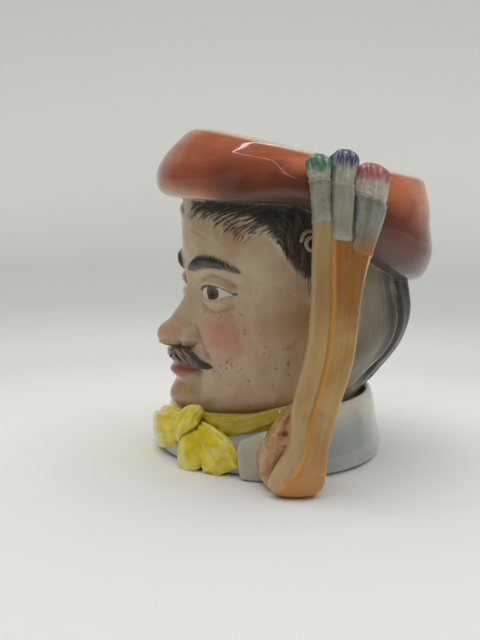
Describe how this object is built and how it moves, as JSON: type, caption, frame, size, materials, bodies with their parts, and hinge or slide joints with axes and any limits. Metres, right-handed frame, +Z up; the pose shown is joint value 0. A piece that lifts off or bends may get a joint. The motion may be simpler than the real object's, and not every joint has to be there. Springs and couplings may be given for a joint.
{
  "type": "character mug",
  "caption": "Hollow head-shaped mug with a wide beret mouth, tied neckerchief, coat collar foot and a side handle made of brushes.",
  "frame": {"origin": "centre of the flat underside, on the surface the mug stands on", "axes": "+Z up, -Y the way the face looks, +X the side of the handle"},
  "size_m": [0.1003, 0.0957, 0.105],
  "materials": {
    "glaze": "hand-painted earthenware under a clear gloss glaze"
  },
  "bodies": {
    "root": {"mug": "glaze"}
  },
  "joints": []
}
